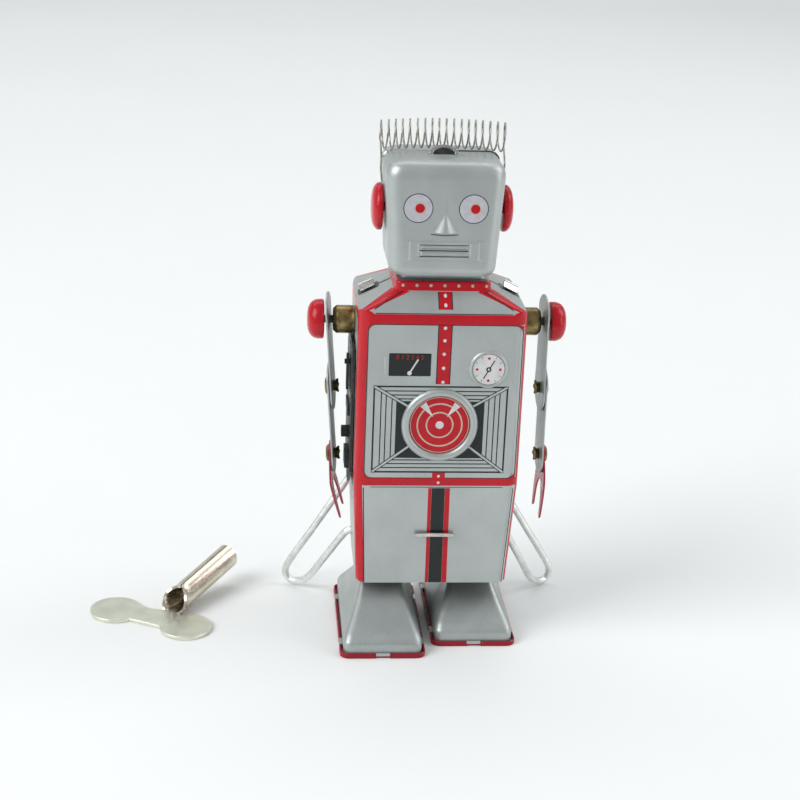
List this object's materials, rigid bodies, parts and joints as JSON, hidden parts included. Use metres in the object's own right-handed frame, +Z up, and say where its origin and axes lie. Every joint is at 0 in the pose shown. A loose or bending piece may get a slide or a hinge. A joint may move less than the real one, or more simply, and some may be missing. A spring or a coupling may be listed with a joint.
{
  "type": "wind-up tin toy",
  "caption": "Wind-up tin walking robot with jointed arms, a coil antenna and a wire easel behind it, with its loose winding key.",
  "frame": {"origin": "on the surface it stands on, at the middle of the footprint of the robot and its key together", "axes": "+Z up, -Y the way the robot faces, +X towards the robot's own left hand"},
  "size_m": [0.1502, 0.058, 0.1584],
  "materials": {
    "silver_paint": "silver-grey lithographed enamel, satin gloss",
    "red_paint": "gloss red enamel",
    "bright_steel": "bright tinned steel",
    "zinc_wire": "dull zinc-plated wire",
    "dark_steel": "oiled dark steel",
    "brass": "aged brass",
    "nickel_plate": "warm nickel plate"
  },
  "bodies": {
    "torso": {"body_front": "silver_paint", "body_back": "silver_paint", "head_front": "silver_paint", "head_back": "silver_paint", "ear_right": "red_paint", "ear_left": "red_paint", "antenna_spring": "bright_steel", "spring_clip": "bright_steel", "front_tab": "bright_steel", "shoulder_tab_right": "bright_steel", "shoulder_tab_left": "bright_steel", "shoulder_bush_right": "brass", "shoulder_bush_left": "brass", "frame_plate_right": "dark_steel", "frame_plate_inner": "bright_steel", "frame_plate_left": "bright_steel", "frame_pillar_top": "bright_steel", "frame_pillar_front": "bright_steel", "frame_pillar_rear": "bright_steel", "leg_guide_rod": "bright_steel", "mainspring": "dark_steel"},
    "winding": {"winding_arbor": "dark_steel", "ratchet_wheel": "bright_steel"},
    "great": {"great_wheel": "brass"},
    "click": {"ratchet_click": "bright_steel"},
    "intermediate": {"intermediate_pinion": "bright_steel", "intermediate_wheel": "brass"},
    "crank": {"crankshaft": "bright_steel", "crank_pinion": "bright_steel", "crank_wheel": "brass", "crank_disc_right": "bright_steel", "crank_disc_left": "bright_steel"},
    "escape": {"escape_pinion": "bright_steel", "escape_wheel": "brass"},
    "pallet": {"verge": "bright_steel"},
    "leg_right": {"leg_shell_right": "silver_paint", "sole_right": "red_paint"},
    "leg_left": {"leg_shell_left": "silver_paint", "sole_left": "red_paint"},
    "easel": {"easel_wire": "zinc_wire"},
    "stop": {"stop_lever": "dark_steel"},
    "key": {"winding_key": "nickel_plate"},
    "arm_right": {"shoulder_axle_right": "bright_steel", "shoulder_cap_right": "red_paint", "upper_arm_right": "silver_paint", "elbow_rivet_right": "brass"},
    "forearm_right": {"lower_arm_right": "silver_paint", "wrist_rivet_right": "brass"},
    "claw_right": {"hand_right": "red_paint"},
    "arm_left": {"shoulder_axle_left": "bright_steel", "shoulder_cap_left": "red_paint", "upper_arm_left": "silver_paint", "elbow_rivet_left": "brass"},
    "forearm_left": {"lower_arm_left": "silver_paint", "wrist_rivet_left": "brass"},
    "claw_left": {"hand_left": "red_paint"}
  },
  "joints": [
    {"name": "crank_spin", "type": "hinge", "parent": "torso", "child": "crank", "pos_m": [0.03018, 0.00022, 0.045], "axis": [1, 0, 0], "continuous": true},
    {"name": "intermediate_spin", "type": "hinge", "parent": "torso", "child": "intermediate", "pos_m": [0.03018, 0.00728, 0.05208], "axis": [1, 0, 0], "continuous": true},
    {"name": "great_spin", "type": "hinge", "parent": "torso", "child": "great", "pos_m": [0.03018, 0.00022, 0.0624], "axis": [1, 0, 0], "continuous": true},
    {"name": "escape_spin", "type": "hinge", "parent": "torso", "child": "escape", "pos_m": [0.03018, -0.00778, 0.051], "axis": [1, 0, 0], "continuous": true},
    {"name": "leg_right_follow", "type": "hinge", "parent": "crank", "child": "leg_right", "pos_m": [0.02117, -0.00358, 0.045], "axis": [1, 0, 0], "continuous": true},
    {"name": "leg_left_follow", "type": "hinge", "parent": "crank", "child": "leg_left", "pos_m": [0.03918, 0.00402, 0.045], "axis": [1, 0, 0], "continuous": true},
    {"name": "winding_turn", "type": "hinge", "parent": "torso", "child": "winding", "pos_m": [0.02017, 0.00022, 0.0624], "axis": [1, 0, 0], "continuous": true},
    {"name": "click_lift", "type": "hinge", "parent": "great", "child": "click", "pos_m": [0.02888, 0.00022, 0.0694], "axis": [1, 0, 0], "range_deg": [-12, 0]},
    {"name": "pallet_rock", "type": "hinge", "parent": "torso", "child": "pallet", "pos_m": [0.02917, -0.01138, 0.0575], "axis": [1, 0, 0], "range_deg": [-4, 4]},
    {"name": "stop_swing", "type": "hinge", "parent": "torso", "child": "stop", "pos_m": [0.00378, 0.00022, 0.0848], "axis": [1, 0, 0], "range_deg": [-12, 12]},
    {"name": "easel_fold", "type": "hinge", "parent": "torso", "child": "easel", "pos_m": [0.03018, 0.00522, 0.027], "axis": [1, 0, 0], "range_deg": [-25, 0]},
    {"name": "key_lift", "type": "slide", "parent": "torso", "child": "key", "axis": [0, 0, 1], "range_m": [0, 0.06]},
    {"name": "shoulder_right_swing", "type": "hinge", "parent": "torso", "child": "arm_right", "pos_m": [0.00017, 0.00092, 0.0978], "axis": [1, 0, 0], "range_deg": [-170, 60]},
    {"name": "elbow_right_bend", "type": "hinge", "parent": "arm_right", "child": "forearm_right", "pos_m": [-0.00059, 0.00072, 0.07687], "axis": [0.9895, -0.1215, 0.0785], "range_deg": [-110, 110]},
    {"name": "wrist_right_bend", "type": "hinge", "parent": "forearm_right", "child": "claw_right", "pos_m": [0.00022, 0.00062, 0.05506], "axis": [0.9895, -0.1215, 0.0785], "range_deg": [-60, 60]},
    {"name": "shoulder_left_swing", "type": "hinge", "parent": "torso", "child": "arm_left", "pos_m": [0.06017, 0.00092, 0.0978], "axis": [1, 0, 0], "range_deg": [-170, 60]},
    {"name": "elbow_left_bend", "type": "hinge", "parent": "arm_left", "child": "forearm_left", "pos_m": [0.06276, 0.00093, 0.0768], "axis": [0.9994, 0.0349, 0.0087], "range_deg": [-110, 110]},
    {"name": "wrist_left_bend", "type": "hinge", "parent": "forearm_left", "child": "claw_left", "pos_m": [0.06385, 0.00096, 0.05501], "axis": [0.9994, 0.0349, 0.0087], "range_deg": [-60, 60]}
  ],
  "couplings": [
    {"joint": "intermediate_spin", "follows": "crank_spin", "ratio": -0.33333},
    {"joint": "great_spin", "follows": "crank_spin", "ratio": 0.083333},
    {"joint": "escape_spin", "follows": "crank_spin", "ratio": -4},
    {"joint": "leg_right_follow", "follows": "crank_spin", "ratio": -1},
    {"joint": "leg_left_follow", "follows": "crank_spin", "ratio": -1}
  ]
}
